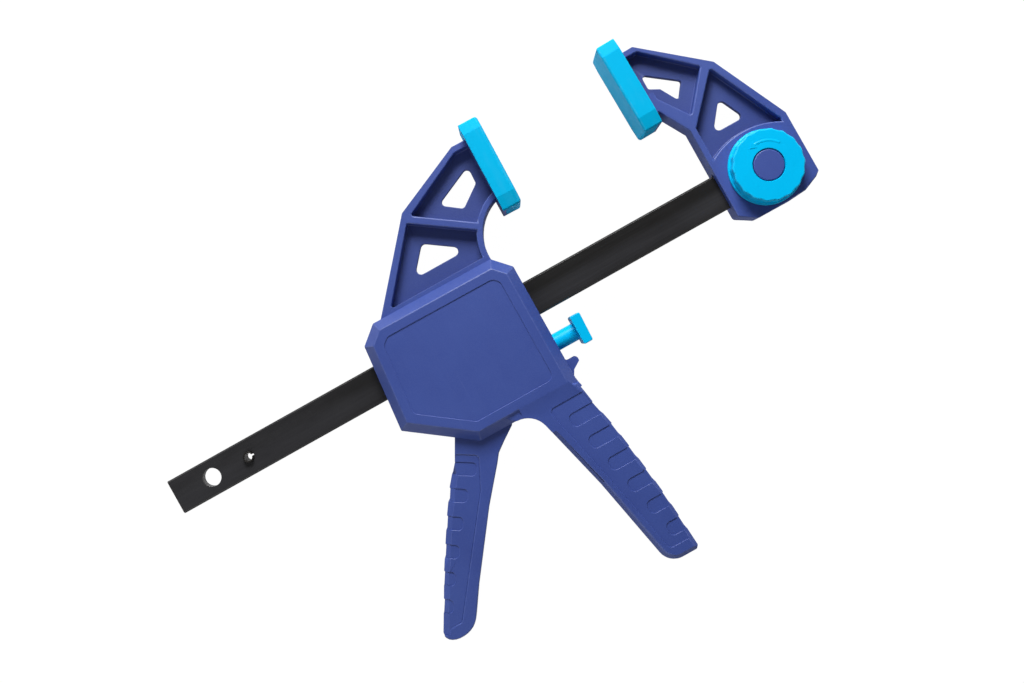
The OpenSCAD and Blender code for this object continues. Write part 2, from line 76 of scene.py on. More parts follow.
# the node tree of a finish or of the world
class Board:
    def __init__(self, owner, patterns=None, output="ShaderNodeOutputMaterial"):
        owner.use_nodes = True
        self.owner = owner
        self.patterns = patterns
        self.tree = owner.node_tree
        self.tree.nodes.clear()
        self.output = self.tree.nodes.new(output)

    def put(self, socket, value):
        if isinstance(value, Wire):
            self.tree.links.new(value.socket, socket)
        elif value is not None:
            if isinstance(value, tuple) and len(value) == 3 and len(socket.default_value) == 4:
                value = (*value, 1.0)
            socket.default_value = value

    # a new node, its first sockets by place and others by name, with _ for a space
    def add(self, kind, *places, settings=None, out=0, **named):
        node = self.tree.nodes.new(kind)
        for key, value in (settings or {}).items():
            setattr(node, key, value)
        for socket, value in zip(node.inputs, places):
            self.put(socket, value)
        for key, value in named.items():
            self.put(node.inputs[key.replace("_", " ")], value)
        return Wire(self, node.outputs[out])

    # one of the owner's noise patterns, in the piece's own coordinates
    def pattern(self, name, stretch=(1, 1, 1)):
        look = {"stretch": stretch, "turn": 0, "fade": None, **self.patterns[name]}
        coords = self.add("ShaderNodeTexCoord", out="Object")
        where = self.add("ShaderNodeMapping", Vector=coords, Rotation=(0, 0, look["turn"]),
                         Scale=look["stretch"])
        noise = self.add("ShaderNodeTexNoise", out="Fac", Vector=where, Scale=look["scale"],
                         Detail=look["detail"], Roughness=look["rough"])
        return self.fade(noise, *look["fade"]) if look["fade"] else noise

    # patches of a pattern: none below the low value, all above the high one
    def fade(self, value, low, high):
        faded = self.add("ShaderNodeValToRGB", value)
        stops = faded.socket.node.color_ramp.elements
        stops[0].position = low
        stops[1].position = high
        return faded

    def axis(self, name):
        return self.add("ShaderNodeSeparateXYZ", self.add("ShaderNodeTexCoord", out="Object"), out=name)

    def attribute(self, name):
        return self.add("ShaderNodeAttribute", settings={"attribute_name": name}, out="Fac")

    # 1 for rays of one kind, such as Camera or Glossy, and 0 for others
    def ray(self, kind):
        return self.add("ShaderNodeLightPath", out="Is " + kind + " Ray")

    # two colours mixed, through the mix node's colour sockets, which are 6, 7 and 2
    def blend(self, factor, low, high):
        mix = self.add("ShaderNodeMix", factor, settings={"data_type": "RGBA"}, out=2)
        self.put(mix.socket.node.inputs[6], low)
        self.put(mix.socket.node.inputs[7], high)
        return mix

    # layers of bumps, each a height with its strength and its depth in mm
    def relief(self, *layers):
        normal = None
        for height, (strength, depth) in layers:
            normal = self.add("ShaderNodeBump", Strength=strength, Distance=depth * mm, Height=height,
                              Normal=normal)
        return normal

    def show(self, shader):
        self.tree.links.new(shader.socket, self.output.inputs["Surface"])

    def surface(self, **named):
        self.show(self.add("ShaderNodeBsdfPrincipled", **named))
        return self.owner


# a screen colour, 0 to 255, as the linear one that shaders take
def srgb(red, green, blue):
    return tuple(((c / 255 + 0.055) / 1.055) ** 2.4 if c > 10 else c / 255 / 12.92
                 for c in (red, green, blue))


nylonPatterns = {
    "clouds": {"scale": 26, "detail": 3, "rough": 0.55},
    "flow": {"scale": 70, "detail": 4, "rough": 0.6, "stretch": (1, 0.22, 1), "turn": 0.3},
    "grain": {"scale": 2300, "detail": 2, "rough": 0.6},
    "rubbed": {"scale": 420, "detail": 4, "rough": 0.65, "fade": (0.42, 0.68)},
    "scratches": {"scale": 900, "detail": 2, "rough": 0.4, "stretch": (1, 0.03, 1), "turn": 0.5,
                  "fade": (0.70, 0.76)},
    "scratched": {"scale": 30, "detail": 2, "rough": 0.5, "fade": (0.55, 0.70)}}


# glass-filled nylon: cloudy tone, spark-eroded grain, pale rubbed edges that also paint a highlight, a few
# fine scratches, and painted shade in the sunk webs of the jaws
def nylonFinish(name, look):
    board = Board(bpy.data.materials.new(name), nylonPatterns)
    clouds = board.pattern("clouds")
    flow = board.pattern("flow")
    grain = board.pattern("grain")
    rubbed = board.pattern("rubbed")
    scratches = board.pattern("scratches") * board.pattern("scratched")
    wearAndHighlight = board.attribute("edgeWearAndHighlight")
    deep = board.attribute("pocketShade")
    cloudy = ((clouds * 0.6 + flow * 0.4 - 0.5) * look["contrast"] + 0.5).clamp()
    tone = board.blend(cloudy, look["dark"], look["light"])
    # painted shade: the sunk webs of the jaws are darkened towards the deep colour, in patches that follow
    # the flow pattern
    tone = board.blend((deep * (0.7 + 0.6 * flow) * look["pocketShade"]).clamp(), tone, look["deep"])
    tone = board.blend(((grain - 0.5) * look["grainTone"] + 0.05).clamp(), tone, look["pale"])
    # pale edges and scratches: the edge mark is rubbed wear, and also a painted highlight along every convex
    # rounding
    wornAndHighlight = wearAndHighlight * (0.25 + 0.75 * rubbed) * look["edge"] + scratches * look["scratch"]
    tone = board.blend(wornAndHighlight.clamp(), tone, look["pale"])
    rough = (look["rough"] + (clouds - 0.5) * 0.12 + (grain - 0.5) * 0.10 - wearAndHighlight * rubbed * 0.06).clamp()
    normal = board.relief((flow, look["flowRelief"]), (grain, look["grainRelief"]),
                          (scratches, look["scratchRelief"]))
    return board.surface(Base_Color=tone, Roughness=rough, Normal=normal, Specular_IOR_Level=look["shine"])


rubberPatterns = {
    "clouds": {"scale": 55, "detail": 3, "rough": 0.55},
    "skin": {"scale": 2600, "detail": 2, "rough": 0.6},
    "dents": {"scale": 190, "detail": 3, "rough": 0.5},
    "dust": {"scale": 260, "detail": 5, "rough": 0.65, "fade": (0.45, 0.75)},
    "smear": {"scale": 120, "detail": 4, "rough": 0.6, "stretch": (1, 0.35, 1), "fade": (0.52, 0.78)}}


# moulded rubber of the pads, matt and chalky where work has rubbed it, with pale rounded edges that are
# partly wear and partly painted highlight, and the glossier plastic of the knob and the button
def rubberFinish(name, look):
    board = Board(bpy.data.materials.new(name), rubberPatterns)
    clouds = board.pattern("clouds")
    dust = board.pattern("dust")
    wearAndHighlight = board.attribute("edgeWearAndHighlight")
    face = board.attribute("face")
    tone = board.blend(clouds, look["dark"], look["light"])
    # the pale colour is chalk on the clamping face and in smears, and on the rounded edges it is partly wear
    # and partly painted highlight
    chalkyAndHighlight = (wearAndHighlight * (0.15 + 0.85 * dust) * look["edge"] + face * (look["chalkiness"] + 0.25 * dust)
              + board.pattern("smear") * look["smear"])
    tone = board.blend(chalkyAndHighlight.clamp(), tone, look["chalkAndHighlightTone"])
    rough = (look["rough"] + (clouds - 0.5) * 0.1 + dust * 0.08).clamp()
    normal = board.relief((board.pattern("dents"), look["dentRelief"]),
                          (board.pattern("skin"), look["skinRelief"]))
    return board.surface(Base_Color=tone, Roughness=rough, Normal=normal, Specular_IOR_Level=look["shine"])


barPatterns = {
    "drawn": {"scale": 1500, "detail": 3, "rough": 0.6, "stretch": (0.02, 1, 1)},
    "crust": {"scale": 160, "detail": 5, "rough": 0.62, "stretch": (0.25, 1, 1)},
    "speck": {"scale": 1900, "detail": 2, "rough": 0.6},
    "long": {"scale": 14, "detail": 2, "rough": 0.5, "stretch": (0.6, 0.1, 1), "fade": (0.35, 0.65)}}


# blackened strip steel, drawn along X, with a painted sheen: a pale band along the bar and a lighter tail end
def barFinish(name, look):
    board = Board(bpy.data.materials.new(name), barPatterns)
    drawn = board.pattern("drawn")
    crust = board.pattern("crust")
    speck = board.pattern("speck")
    wearAndHighlight = board.attribute("edgeWearAndHighlight")
    bare = board.attribute("bare")
    # painted sheen: a pale band just below the bar's centreline, broken up along its length, and a lighter
    # tail end
    offset = (board.axis("Y") - (barLine + look["sheenY"] * mm)) / (look["sheenWide"] * mm)
    sheenBand = (1 - offset * offset).clamp()
    tail = ((look["tailSheenFrom"] * mm - board.axis("X")) / (look["tailSheenWide"] * mm)).clamp()
    tone = board.blend(crust * 0.7 + drawn * 0.3, look["dark"], look["light"])
    tone = board.blend(tail * (0.2 + 0.3 * crust), tone, look["sheenTone"])
    paintedSheen = sheenBand * (0.3 + 0.7 * board.pattern("long")) * (0.45 + 0.4 * drawn)
    tone = board.blend(paintedSheen.clamp(), tone, look["sheenTone"])
    # edges paler towards bare steel, partly wear and partly painted highlight, and the bare tail end in
    # patches
    wornAndHighlight = (wearAndHighlight * (0.2 + 0.8 * board.fade(crust, 0.40, 0.66)) * look["edge"]
            + bare * (0.35 + 0.65 * board.fade(speck, 0.35, 0.6)))
    tone = board.blend(wornAndHighlight.clamp(), tone, look["steel"])
    rough = (look["rough"] + (drawn - 0.5) * 0.16 + (crust - 0.5) * 0.16 - sheenBand * 0.08).clamp()
    normal = board.relief((speck, look["speckRelief"]), (drawn, look["drawnRelief"]))
    return board.surface(Base_Color=tone, Roughness=rough, Normal=normal, Metallic=look["metal"],
                         Specular_IOR_Level=look["shine"])


steelPatterns = {
    "brushed": {"scale": 2200, "detail": 3, "rough": 0.6},
    "stain": {"scale": 240, "detail": 4, "rough": 0.6}}


# bright or dull steel of screws, pins, plates and springs
def steelFinish(name, look):
    board = Board(bpy.data.materials.new(name), steelPatterns)
    brushed = board.pattern("brushed", stretch=look["grain"])
    stain = board.pattern("stain")
    tone = board.blend(stain * 0.6 + brushed * 0.4, look["dark"], look["light"])
    rough = (look["rough"] + (brushed - 0.5) * 0.2 + (stain - 0.5) * 0.15).clamp()
    normal = board.relief((brushed, look["relief"]))
    return board.surface(Base_Color=tone, Roughness=rough, Metallic=1.0, Normal=normal)


finishes = {
    "nylon": nylonFinish("navyNylon", {
        # deep is the colour of the painted shade in the sunk webs of the jaws, and the pocket value is its
        # strength
        "dark": srgb(37, 61, 140), "light": srgb(49, 75, 155), "deep": srgb(20, 30, 82),
        "pale": srgb(132, 146, 196), "contrast": 1.8, "pocketShade": 0.32, "grainTone": 0.16, "edge": 0.20,
        "scratch": 0.12, "rough": 0.5, "shine": 0.6,
        "flowRelief": (0.10, 0.4), "grainRelief": (0.9, 0.05), "scratchRelief": (0.20, 0.04)}),
    "rubber": rubberFinish("cyanRubber", {
        "dark": srgb(0, 171, 220), "light": srgb(0, 182, 230), "chalkAndHighlightTone": srgb(115, 198, 232), "edge": 0.25,
        "chalkiness": 0.15, "smear": 0.06, "rough": 0.6, "shine": 0.06,
        "dentRelief": (0.12, 0.3), "skinRelief": (0.35, 0.05)}),
    "gloss": rubberFinish("cyanPlastic", {
        "dark": srgb(0, 184, 240), "light": srgb(0, 196, 251), "chalkAndHighlightTone": srgb(120, 205, 240), "edge": 0.25,
        "chalkiness": 0.0, "smear": 0.0, "rough": 0.3, "shine": 0.12,
        "dentRelief": (0.12, 0.3), "skinRelief": (0.35, 0.05)}),
    "bar": barFinish("blackenedSteel", {
        # the third colour is that of the painted sheen, and the next line places its band and its lighter
        # tail end
        "dark": srgb(11, 10, 10), "light": srgb(20, 19, 19), "sheenTone": srgb(58, 58, 62),
        "steel": srgb(116, 112, 108), "sheenY": -3.5, "sheenWide": 7, "tailSheenFrom": -110, "tailSheenWide": 60,
        "edge": 0.5, "rough": 0.44, "metal": 0.0, "shine": 0.35,
        "speckRelief": (0.20, 0.06), "drawnRelief": (0.22, 0.06)}),
    "steel": steelFinish("groundSteel", {
        "dark": srgb(120, 120, 124), "light": srgb(176, 176, 180), "grain": (1, 1, 0.1), "rough": 0.34,
        "relief": (0.2, 0.04)}),
    "spring": steelFinish("springSteel", {
        "dark": srgb(62, 62, 66), "light": srgb(110, 110, 115), "grain": (1, 1, 1), "rough": 0.38,
        "relief": (0.2, 0.04)}),
    "dull": steelFinish("dullSteel", {
        "dark": srgb(34, 33, 33), "light": srgb(70, 68, 66), "grain": (1, 1, 1), "rough": 0.5,
        "relief": (0.2, 0.04)})}
print("finishes ready:", len(finishes))

# flat, gentle and crease are angles in degrees, and upright is the share of an edge's length that rises
meshValues = {"merge": 0.025, "tiny": 0.01, "seam": 0.001, "level": 0.03, "webReach": 0.7, "flat": 0.6,
              "gentle": 60, "crease": 38, "upright": 0.98}


# makes faces that meet at a hair's angle one face
def joinFlats(bm):
    bmesh.ops.dissolve_limit(bm, angle_limit=math.radians(meshValues["flat"]), verts=bm.verts, edges=bm.edges)


# a merged copy of a CAD node's mesh, flat faces whole again
def meshOfNode(node):
    bm = bmesh.new()
    bm.from_mesh(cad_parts[node].data)
    bmesh.ops.remove_doubles(bm, verts=bm.verts, dist=meshValues["merge"] * mm)
    bmesh.ops.dissolve_degenerate(bm, dist=meshValues["tiny"] * mm, edges=bm.edges)
    joinFlats(bm)
    return bm


# whether a point is near a place, within a reach in x and in y
def isNear(vert, x, y, reachX, reachY):
    return abs(vert.co.x - x * mm) < reachX * mm and abs(vert.co.y - barLine - y * mm) < reachY * mm


# the plainest test of which edges to round
def anyEdge(edge):
    return True


def isUpright(edge):
    line = edge.verts[1].co - edge.verts[0].co
    return abs(line.z) > meshValues["upright"] * line.length


def isGentle(edge):
    return edge.calc_face_angle(0) < math.radians(meshValues["gentle"])


# both ends of an edge at one of the heights, on either side of the clamp's middle plane
def levelAt(*heights):
    def test(edge):
        ends = [abs(vert.co.z) for vert in edge.verts]
        gaps = [max(abs(end - height * mm) for end in ends) for height in heights]
        return min(gaps) < meshValues["level"] * mm
    return test


# a test that asks for all of the given ones
def every(*tests):
    return lambda edge: all(test(edge) for test in tests)


# the opposite of a test
def unless(test):
    return lambda edge: not test(edge)


# rounds the edges that a test picks, and marks the points of convex roundings, which the finishes make pale
# as rubbed wear and as a painted highlight
def roundEdges(bm, label, wanted, width, segments=3, convex=True, angle=24):
    wearAndHighlight = bm.verts.layers.float.get("edgeWearAndHighlight") or bm.verts.layers.float.new("edgeWearAndHighlight")
    done = bm.faces.layers.int.get("rounded") or bm.faces.layers.int.new("rounded")
    edges = [edge for edge in bm.edges if len(edge.link_faces) == 2 and edge.is_convex == convex
             and edge.calc_face_angle(0) > math.radians(angle) and wanted(edge)
             and not any(face[done] for face in edge.link_faces)]
    if not edges:
        print("   ", label, "none")
        return
    length = sum(edge.calc_length() for edge in edges)
    made = bmesh.ops.bevel(bm, geom=edges, offset=width * mm, offset_type="OFFSET", segments=segments,
                           profile=0.5, affect="EDGES", clamp_overlap=False, material=-1, loop_slide=True)
    area = 0
    for face in made["faces"]:
        face[done] = 1
        area += face.calc_area()
    if convex:
        for vert in made["verts"]:
            if vert.is_valid and all(face[done] for face in vert.link_faces):
                vert[wearAndHighlight] = 1.0
    print("   ", label, len(edges), "edges, strip", round(area / length / mm, 3), "of", width)


# gives the points that a test picks a mark that the finishes read
def markPoints(bm, name, wanted):
    layer = bm.verts.layers.float.new(name)
    for vert in bm.verts:
        if wanted(vert):
            vert[layer] = 1.0


# marks the sunk webs of the jaws, which the nylon finish darkens as painted shade
def markShadedPockets(bm, web):
    markPoints(bm, "pocketShade", lambda vert: abs(abs(vert.co.z) - web * mm) < meshValues["webReach"] * mm)


def addPiece(bm, name, body, finish, node):
    mesh = bpy.data.meshes.new(name)
    bm.to_mesh(mesh)
    bm.free()
    piece = bpy.data.objects.new(name, mesh)
    bpy.context.scene.collection.objects.link(piece)
    mesh.materials.append(finishes[finish])
    mesh.shade_smooth()
    mesh.set_sharp_from_angle(angle=math.radians(meshValues["crease"]))
    even = piece.modifiers.new("evenShading", "WEIGHTED_NORMAL")
    even.keep_sharp = True
    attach(piece, body)
    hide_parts(node)
    print(name, len(mesh.polygons), "faces")


# heights are from the middle plane, and a place is x, y and the reach in x and in y
shellValues = {
    "cover": 16, "coverEdge": 10, "rim": 9, "web": 2, "handle": 14.5, "handleEdge": 12.1, "sunk": 0.5,
    "slotDeep": 0.5, "slack": 0.1, "coverLow": -54.5, "coverRound": 0.5, "backRound": 0.2, "edgeRound": 0.7,
    "rimRound": 0.8, "floorRound": 0.6, "handleRound": 0.8, "handleSide": 0.35, "cornerRound": 0.5,
    "fine": 0.16, "holeRound": 0.32, "backX": -32, "backY": -112, "backLean": 0.23,
    "mouth": (-55.5, -53, 3, 3.5),
    "neckLine": -49.2, "neckLeft": -56.9, "neckSlack": 0.1, "neckReach": 0.2, "neckBelow": 0.3,
    "neckLength": 20,
    "weldY": -106.5, "weldReach": 3.5, "weldAbove": 11, "weld": 0.25,
    "corner": (-22.4, -49.9, 1.3, 0.2), "cornerHeight": 11, "cornerReach": 1.2, "cornerDrop": 2.1}


# the handle's plain back edge, behind a line that leans with the handle, away from the grip slots
def isBackEdge(edge):
    values = shellValues
    lineX, lineY, lean = values["backX"] * mm, values["backY"] * mm, values["backLean"]
    return all(vert.co.x + lean * (vert.co.y - barLine - lineY) < lineX for vert in edge.verts)


# the thin corner where the trigger comes out beside the web
def isMouth(edge):
    return all(isNear(vert, *shellValues["mouth"]) for vert in edge.verts)


# the raised cover's face and its slanted sides
def isCover(edge):
    values = shellValues
    low, high = values["coverEdge"] - values["slack"], values["cover"] + values["slack"]
    return all(low < abs(vert.co.z) / mm < high and vert.co.y > barLine + values["coverLow"] * mm
               for vert in edge.verts)


# runs the cover's face into the neck, without the hair of rim left between them
def joinNeck(bm):
    values = shellValues
    line = barLine + values["neckLine"] * mm
    rims = [edge for edge in bm.edges if levelAt(values["cover"])(edge)
            and all(abs(vert.co.y - line) < values["neckSlack"] * mm for vert in edge.verts)]
    if not rims:
        print("    no neck line")
        return
    rim = max(rims, key=lambda edge: edge.calc_length())
    right = max(rim.verts, key=lambda vert: vert.co.x)
    cut = bmesh.ops.bisect_plane(bm, geom=[rim, *rim.verts], plane_co=(values["neckLeft"] * mm, 0, 0),
                                 plane_no=(1, 0, 0))
    points = [item for item in cut["geom_cut"] if isinstance(item, bmesh.types.BMVert)]
    left = points[0] if points else min(rim.verts, key=lambda vert: vert.co.x)
    reach = values["neckReach"] * mm
    low = (values["cover"] - values["neckBelow"]) * mm
    others = {}
    for corner in (left, right):
        others[corner] = [vert for vert in bm.verts if vert not in (left, right)
                          and abs(vert.co.x - corner.co.x) < reach and abs(vert.co.y - line) < reach
                          and abs(vert.co.z) > low]
        sharing = [vert for vert in others[corner] if set(vert.link_faces) & set(corner.link_faces)]
        first = min(sharing, key=lambda vert: (vert.co - corner.co).length, default=None)
        if first and not any(corner in edge.verts for edge in first.link_edges):
            bmesh.ops.connect_vert_pair(bm, verts=[corner, first])
    for edge in bm.edges:
        if (edge != rim and edge.calc_length() > values["neckLength"] * mm
                and all(any(vert in others[corner] for vert in edge.verts) for corner in (left, right))):
            bmesh.ops.dissolve_edges(bm, edges=[edge], use_verts=False)
            break
    for corner in (left, right):
        group = [corner] + [vert for vert in others[corner] if vert.is_valid]
        bmesh.ops.pointmerge(bm, verts=group, merge_co=corner.co.copy())


# joins the hair-thin steps half-way down the handle, runs the cover into the neck, and moves the handle's
# front corner so that its end stands upright below the cover
def mendHandle(bm):
    values = shellValues
    weldLine = barLine + values["weldY"] * mm
    steps = [vert for vert in bm.verts if abs(vert.co.y - weldLine) < values["weldReach"] * mm
             and abs(vert.co.z) > values["weldAbove"] * mm]
    bmesh.ops.remove_doubles(bm, verts=steps, dist=values["weld"] * mm)
    joinNeck(bm)
    for vert in bm.verts:
        height = abs(abs(vert.co.z) - values["cornerHeight"] * mm)
        if isNear(vert, *values["corner"]) and height < values["cornerReach"] * mm:
            vert.co.y -= values["cornerDrop"] * mm


def makeShell(node, name, coverRound):
    values = shellValues
    cover, handle, web, sunk, fine = (values[key] for key in ("cover", "handle", "web", "sunk", "fine"))
    bm = meshOfNode(node)
    mendHandle(bm)
    roundEdges(bm, "corners", every(isUpright, unless(isMouth)), values["cornerRound"])
    coverSide = levelAt(values["coverEdge"])
    roundEdges(bm, "cover rim", every(isCover, isGentle, unless(coverSide)), coverRound, 5, angle=18)
    roundEdges(bm, "cover side", coverSide, values["edgeRound"])
    roundEdges(bm, "jaw rim", levelAt(values["rim"]), values["rimRound"])
    roundEdges(bm, "jaw floor", levelAt(web), values["floorRound"], convex=False)
    roundEdges(bm, "handle rim", every(levelAt(handle), isBackEdge, isGentle), values["handleRound"])
    roundEdges(bm, "handle side", every(levelAt(values["handleEdge"]), isBackEdge), values["handleSide"], 2)
    roundEdges(bm, "jaw holes", levelAt(web), values["holeRound"], 2)
    roundEdges(bm, "panels", levelAt(cover, handle, handle - sunk), fine, 2)
    roundEdges(bm, "panel floors", levelAt(cover - sunk, handle - sunk, handle - sunk - values["slotDeep"]),
               fine, 2, convex=False)
    markShadedPockets(bm, web)
    addPiece(bm, name, "housing", "nylon", node)


makeShell("body_front_shell", "frontShell", shellValues["coverRound"])
makeShell("body_back_shell", "backShell", shellValues["backRound"])

triggerValues = {"face": 8.5, "faceRound": 0.8, "cornerRound": 0.6, "grooveRound": 0.32,
                 "cuts": (0, 5.6, -5.6, 7.4, -7.4), "wallPoints": 8, "wallTilt": 0.1}


def makeTrigger():
    values = triggerValues
    bm = meshOfNode("trigger")
    roundEdges(bm, "corners", isUpright, values["cornerRound"], 3, angle=30)
    roundEdges(bm, "face", levelAt(values["face"]), values["faceRound"], angle=50)
    roundEdges(bm, "finger edge", unless(isUpright), values["grooveRound"], 2, angle=20)
    # the grooves' thin U-shaped walls, cut at their steps so that each bit stays plain
    for height in values["cuts"]:
        walls = [face for face in bm.faces
                 if len(face.verts) > values["wallPoints"] and abs(face.normal.z) < values["wallTilt"]]
        parts = dict.fromkeys(part for face in walls for part in (face, *face.edges, *face.verts))
        bmesh.ops.bisect_plane(bm, geom=list(parts), plane_co=(0, 0, height * mm), plane_no=(0, 0, 1))
    addPiece(bm, "triggerLever", "trigger", "nylon", "trigger")


makeTrigger()

jawValues = {"rim": 8.5, "web": 2, "rimRound": 0.9, "floorRound": 0.6, "cornerRound": 0.7, "holeRound": 0.3,
             "steps": (145.5, 19.5, 0.3, 0.4), "weld": 0.3, "footX": 99, "footReach": 0.1,
             "fold": (141, 18.85, 0.35, 0.25), "foldReach": 0.01}


# the corners of the jaw's foot below the bar's line
def isFoot(edge):
    return all(abs(vert.co.x - jawValues["footX"] * mm) < jawValues["footReach"] * mm and vert.co.y < barLine
               for vert in edge.verts)


def makeFixedJaw():
    values = jawValues
    bm = meshOfNode("fixed_jaw")
    # a pocket corner of tiny steps, which the wide rounding would fold over
    steps = [vert for vert in bm.verts if isNear(vert, *values["steps"])]
    bmesh.ops.remove_doubles(bm, verts=steps, dist=values["weld"] * mm)
    roundEdges(bm, "corners", every(isUpright, unless(isFoot)), values["cornerRound"])
    roundEdges(bm, "rim", levelAt(values["rim"]), values["rimRound"])
    # two points on the back rim that the rounding has crossed
    fold = [vert for vert in bm.verts if isNear(vert, *values["fold"])
            and abs(vert.co.z + values["rim"] * mm) < values["foldReach"] * mm]
    if fold:
        bmesh.ops.pointmerge(bm, verts=fold, merge_co=fold[0].co.copy())
    roundEdges(bm, "floor", levelAt(values["web"]), values["floorRound"], convex=False)
    roundEdges(bm, "holes", levelAt(values["web"]), values["holeRound"], 2)
    markShadedPockets(bm, values["web"])
    addPiece(bm, "fixedJaw", "bar", "nylon", "fixed_jaw")


makeFixedJaw()

padValues = {"edgeRound": 0.6, "innerRound": 0.3, "edgeDepth": 1.1, "faceDepth": 0.35, "opening": 75.1,
             "movingLean": 1, "fixedLean": -1.4}


def makePad(node, name, body, clampX, lean):
    values = padValues
    bm = meshOfNode(node)
    centre = Vector((clampX * mm, 0, 0))
    turn = Matrix.Rotation(math.radians(lean), 3, "Z")

    def depth(vert):
        return abs((turn @ (vert.co - centre)).x) / mm

    def isFront(edge):
        return all(depth(vert) < values["edgeDepth"] for vert in edge.verts)

    roundEdges(bm, "clamping edge", isFront, values["edgeRound"], 3, angle=30)
    roundEdges(bm, "pad", anyEdge, values["innerRound"], 2, angle=60)
    markPoints(bm, "face", lambda vert: depth(vert) < values["faceDepth"])
    addPiece(bm, name, body, "rubber", node)


makePad("moving_pad", "movingPad", "housing", 0, padValues["movingLean"])
makePad("fixed_pad", "fixedPad", "bar", padValues["opening"], padValues["fixedLean"])

buttonValues = {"centre": (21.8, -27.7), "radius": 25.4, "reach": 0.05, "low": (-3.2, -36),
                "high": (-2.6, -19.1), "round": 0.5}


# the thumb face is made straight, from its low end to its high one
def makeButton():
    values = buttonValues
    bm = meshOfNode("release_button")
    centreX, centreY = values["centre"]
    lowX, lowY = values["low"]
    highX, highY = values["high"]
    lean = (highX - lowX) / (highY - lowY)
    for vert in bm.verts:
        x = vert.co.x / mm
        y = (vert.co.y - barLine) / mm
        if abs(math.hypot(x - centreX, y - centreY) - values["radius"]) < values["reach"]:
            vert.co.x = (lowX + lean * (y - lowY)) * mm
    joinFlats(bm)
    roundEdges(bm, "release button", anyEdge, values["round"], 3, angle=30)
    addPiece(bm, "releaseButton", "button", "gloss", "release_button")


makeButton()

smallValues = {"round": 0.2}


def makeSmall(node, name, finish):
    bm = meshOfNode(node)
    roundEdges(bm, node, anyEdge, smallValues["round"], 2, angle=30)
    addPiece(bm, name, "bar", finish, node)


makeSmall("knob_cap", "knobCap", "nylon")
makeSmall("stop_pin", "stopPin", "dull")

barValues = {"tail": -246, "tailReach": 0.2, "round": 0.3}


def makeBar():
    values = barValues
    bm = meshOfNode("bar")
    roundEdges(bm, "bar", anyEdge, values["round"], 2)
    markPoints(bm, "bare", lambda vert: vert.co.x < (values["tail"] + values["tailReach"]) * mm)
    addPiece(bm, "steelBar", "bar", "bar", "bar")


makeBar()

# heights are from the middle plane, angles in degrees
knobValues = {
    "x": 125, "radius": 19.8, "foot": 8.65, "top": 18.5, "skirt": 20.8, "skirtTop": 10.1, "shoulder": 10.5,
    "chamfer": 0.3, "neckOut": 0.2, "neckFoot": 10.75, "neckTop": 11.2, "grip": 14, "soft": 0.9,
    "softAngles": (90, 68, 46, 23, 0), "capHole": 8.9, "capEdge": 0.25, "bore": 7.56, "seat": 16.5,
    "steps": 216,
    "waves": 18, "deep": 0.5, "turn": 8, "waveShape": 0.8, "waveDepth": 2.5, "waveFoot": 10.7,
    "wearDepth": 1.3, "wearSlack": 0.01, "wearAndHighlight": 0.6,
    "arcRadius": 13.2, "arcWide": 1.6, "arcHigh": 0.22, "arcCrest": 0.4, "arcSunk": 0.1, "arcFrom": 36,
    "arcTo": 98, "arcSteps": 40, "arrow": 2.2, "arrowAhead": 4}


# the knob's outline as radii and heights, from the foot of its bore up its outside to the disc's seat
def knobProfile():
    values = knobValues
    bore, skirt, radius, hole, top = (values[key] for key in ("bore", "skirt", "radius", "capHole", "top"))
    chamfer, foot, soft = values["chamfer"], values["foot"], values["soft"]
    outside = [(bore, foot), (skirt - chamfer, foot), (skirt, foot + chamfer), (skirt, values["skirtTop"]),
               (skirt - chamfer, values["shoulder"]), (radius + values["neckOut"], values["neckFoot"]),
               (radius, values["neckTop"]), (radius, values["grip"])]
    turns = [math.radians(angle) for angle in values["softAngles"]]
    edge = [(radius - soft + soft * math.sin(turn), top - soft + soft * math.cos(turn)) for turn in turns]
    inside = [(hole + values["capEdge"], top), (hole, top - values["capEdge"]), (hole, values["seat"]),
              (bore, values["seat"])]
    return outside + edge + inside


# waves in the grip, fading out on the top face, and the pale top edge, partly rubbed wear and partly painted
# highlight
def carveWaves(bm):
    values = knobValues
    wearAndHighlight = bm.verts.layers.float.new("edgeWearAndHighlight")
    for vert in bm.verts:
        radius = math.hypot(vert.co.x, vert.co.y) / mm
        height = vert.co.z / mm
        if radius > values["radius"] - values["waveDepth"] and height > values["waveFoot"]:
            angle = math.degrees(math.atan2(vert.co.y, vert.co.x))
            wave = 0.5 + 0.5 * math.cos(math.radians((angle - values["turn"]) * values["waves"]))
            pull = 1 - values["deep"] * wave ** values["waveShape"] / radius
            vert.co.x *= pull
            vert.co.y *= pull
            if values["top"] - values["wearDepth"] < height < values["top"] - values["wearSlack"]:
                vert[wearAndHighlight] = values["wearAndHighlight"]


